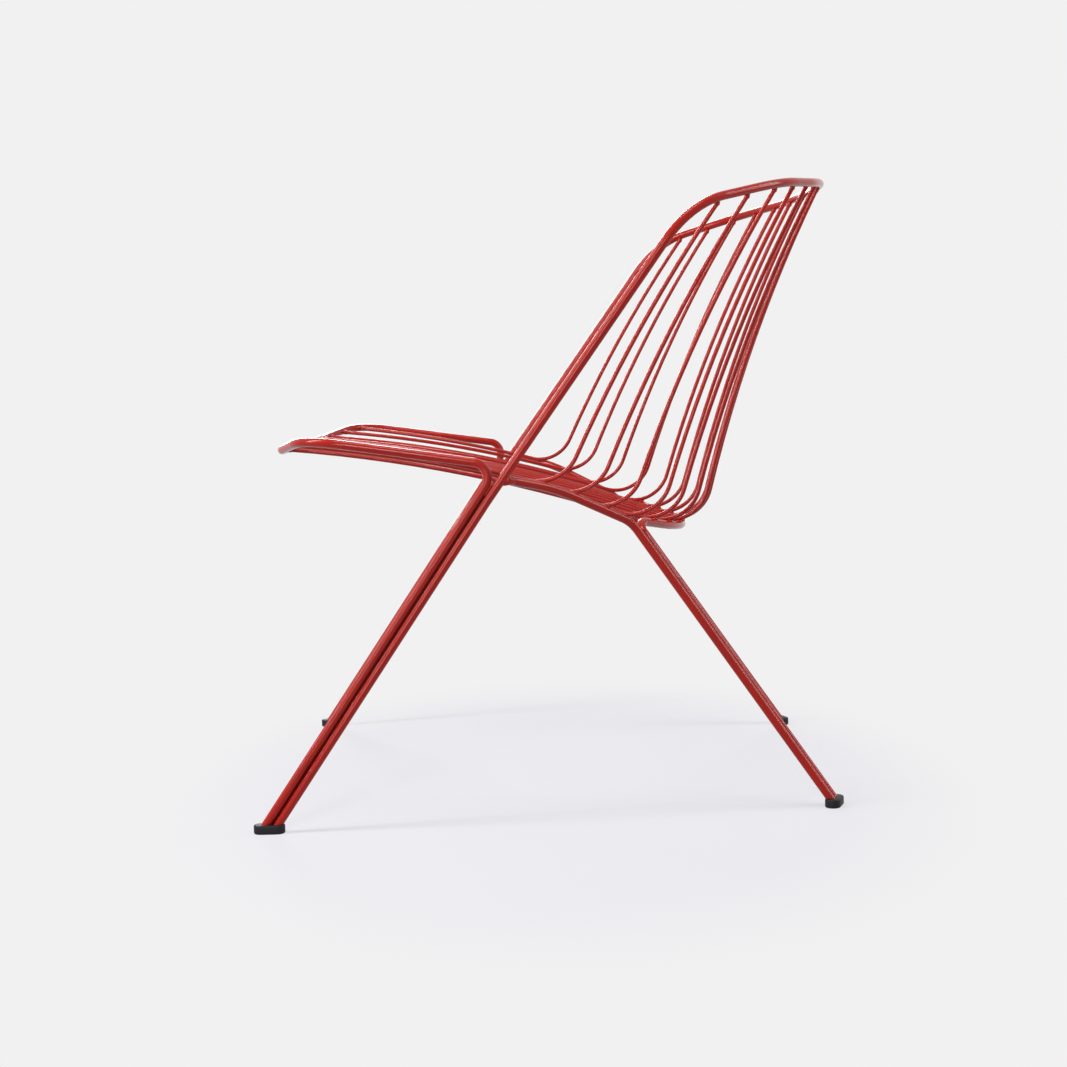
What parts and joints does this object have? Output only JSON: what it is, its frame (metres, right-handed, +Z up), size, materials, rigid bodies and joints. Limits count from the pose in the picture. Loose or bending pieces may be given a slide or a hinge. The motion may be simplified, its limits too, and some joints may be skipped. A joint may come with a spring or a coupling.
{
  "type": "outdoor lounge chair",
  "caption": "Low outdoor lounge chair bent and welded from round steel rods, with a wire seat and back in one sweep, raked paired legs and plastic glides.",
  "frame": {"origin": "on the floor under the middle of the chair's bounding box", "axes": "+Z up, -Y towards the front of the seat, +X to the sitter's left"},
  "size_m": [0.6666, 0.6857, 0.7285],
  "materials": {
    "red_powder_coat": "satin powder coat",
    "black_plastic": "moulded matt"
  },
  "bodies": {
    "root": {"back_hoop": "red_powder_coat", "front_glide_left": "black_plastic", "front_glide_right": "black_plastic", "front_leg_weld_left": "red_powder_coat", "front_leg_weld_right": "red_powder_coat", "rear_glide_left": "black_plastic", "rear_glide_right": "black_plastic", "rear_hoop": "red_powder_coat", "rear_leg_left": "red_powder_coat", "rear_leg_right": "red_powder_coat", "rear_leg_weld_left": "red_powder_coat", "rear_leg_weld_right": "red_powder_coat", "seat_hoop": "red_powder_coat", "wire_left_1": "red_powder_coat", "wire_left_2": "red_powder_coat", "wire_left_3": "red_powder_coat", "wire_left_4": "red_powder_coat", "wire_left_5": "red_powder_coat", "wire_left_6": "red_powder_coat", "wire_left_7": "red_powder_coat", "wire_left_8": "red_powder_coat", "wire_right_1": "red_powder_coat", "wire_right_2": "red_powder_coat", "wire_right_3": "red_powder_coat", "wire_right_4": "red_powder_coat", "wire_right_5": "red_powder_coat", "wire_right_6": "red_powder_coat", "wire_right_7": "red_powder_coat", "wire_right_8": "red_powder_coat"}
  },
  "joints": []
}
